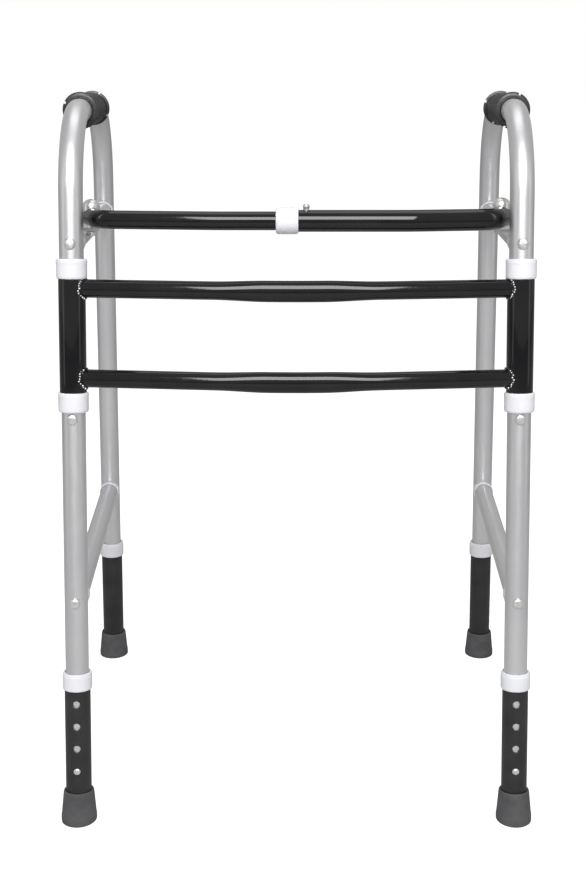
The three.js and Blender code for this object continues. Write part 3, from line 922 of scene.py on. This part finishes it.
def build_lock(lock, height):
    """The round lock button: a waisted metal knob"""
    node = "bar_button"
    place = Matrix.Translation((lock.x, lock.y, height))
    low, high, flange, _ = measure(node, place)
    outline = [
        (1e-5, low),
        (flange, low),
        (flange, low + 1 * MM),
        (LOCK_R * 0.86, low + 1 * MM),
        (LOCK_R * 0.86, high - 4.2 * MM),
        (LOCK_R, high - 3.2 * MM),
        (LOCK_R, high - 1.5 * MM),
        (LOCK_R * 0.7, high - 0.3 * MM),
        (1e-5, high),
    ]
    knob = turned(f"{node}_knob", outline, place, 0.9 * MM, closed=False, sides=48)
    dress(knob, "bar_lock", "zinc_steel", node)


# ---------------------------------------------------------------- the stage


def seen_and_lit(tree, seen, lit, output):
    """One shader for what the camera sees directly, another for the light that the object gets"""
    ray = tree.nodes.new("ShaderNodeLightPath")
    mix = tree.nodes.new("ShaderNodeMixShader")
    tree.links.new(ray.outputs["Is Camera Ray"], mix.inputs["Fac"])
    tree.links.new(lit, mix.inputs[1])
    tree.links.new(seen, mix.inputs[2])
    tree.links.new(mix.outputs["Shader"], output)


def build_floor():
    """Pale paper, lifted to near white where it is seen"""
    mesh = bmesh.new()
    bmesh.ops.create_grid(mesh, x_segments=1, y_segments=1, size=40)
    floor = finished("floor", mesh)
    paper = Look("floor_paper", 0.9)
    paper.shader.inputs["Base Color"].default_value = (0.5, 0.5, 0.5, 1)
    paper.shader.inputs["Specular IOR Level"].default_value = 0
    nodes = paper.tree.nodes
    glow = nodes.new("ShaderNodeEmission")
    glow.inputs["Strength"].default_value = FLOOR_GLOW
    both = nodes.new("ShaderNodeAddShader")
    paper.link(paper.shader.outputs["BSDF"], both.inputs[0])
    paper.link(glow.outputs["Emission"], both.inputs[1])
    output = nodes["Material Output"].inputs["Surface"]
    seen_and_lit(paper.tree, both.outputs["Shader"], paper.shader.outputs["BSDF"], output)
    floor.data.materials.append(paper.made)


def build_world():
    """White to the eye; the object gets a softer grey from it"""
    world = bpy.data.worlds.new("studio")
    world.use_nodes = True
    bpy.context.scene.world = world
    tree = world.node_tree
    walls = tree.nodes["Background"]
    walls.inputs["Color"].default_value = (1.0, 0.985, 0.97, 1)
    walls.inputs["Strength"].default_value = ROOM_LIGHT
    backdrop = tree.nodes.new("ShaderNodeBackground")
    backdrop.inputs["Color"].default_value = (1, 1, 1, 1)
    backdrop.inputs["Strength"].default_value = 1.0
    output = tree.nodes["World Output"].inputs["Surface"]
    seen_and_lit(tree, backdrop.outputs["Background"], walls.outputs["Background"], output)


def softbox(name, place, target, width, height, radiance):
    data = bpy.data.lights.new(name, "AREA")
    data.shape = "RECTANGLE"
    data.size = width
    data.size_y = height
    data.energy = radiance * math.pi * width * height
    lamp = bpy.data.objects.new(name, data)
    bpy.context.scene.collection.objects.link(lamp)
    lamp.location = place
    lamp.rotation_euler = (Vector(target) - Vector(place)).to_track_quat("-Z", "Y").to_euler()


def build_lights():
    middle = (0, -0.14, 0.6)
    softbox("key", (0, -1.98, 1.99), middle, 1.45, 1.3, 10.5)
    softbox("left_card", (-2.2, -0.9, 1.0), middle, 0.6, 1.8, 0.8)
    softbox("right_card", (2.2, -0.9, 1.0), middle, 0.6, 1.8, 0.8)
    softbox("top", (0, 0.5, 2.6), middle, 1.6, 1.2, 1.2)


def build_camera():
    data = bpy.data.cameras.new("camera")
    data.sensor_fit = "AUTO"
    data.sensor_width = 36
    data.lens = 51.08
    data.shift_x = -0.0039
    data.shift_y = 0.0014
    data.clip_end = 200
    camera = bpy.data.objects.new("camera", data)
    bpy.context.scene.collection.objects.link(camera)
    camera.location = (0, -1.4205, 0.78765)
    camera.rotation_euler = (math.radians(73.82), 0, 0)
    bpy.context.scene.camera = camera


bpy.context.scene.view_settings.view_transform = "Standard"
build_camera()
build_world()
build_lights()
build_floor()
for side in ("left", "right"):
    build_side_tube(side)
    build_grip(side)
    build_sleeve(side)
    for level in ("upper", "lower"):
        build_crossbar(side, level)
    for which in ("upper_bolt", "lower_bolt", "collar_screw"):
        build_screw(side, which)
    for end in ("front", "rear"):
        build_extension(side, end)
        build_tip(side, end)
        build_button(side, end)
for level in ("upper", "lower"):
    build_h_bar(level)
build_bar()
for side in ("left", "right"):
    recolour(f"{side}_bar_lug", "anodised_aluminium")
    for end in ("front", "rear"):
        recolour(f"{side}_{end}_spring", "spring_steel")
recolour("bar_spring", "spring_steel")
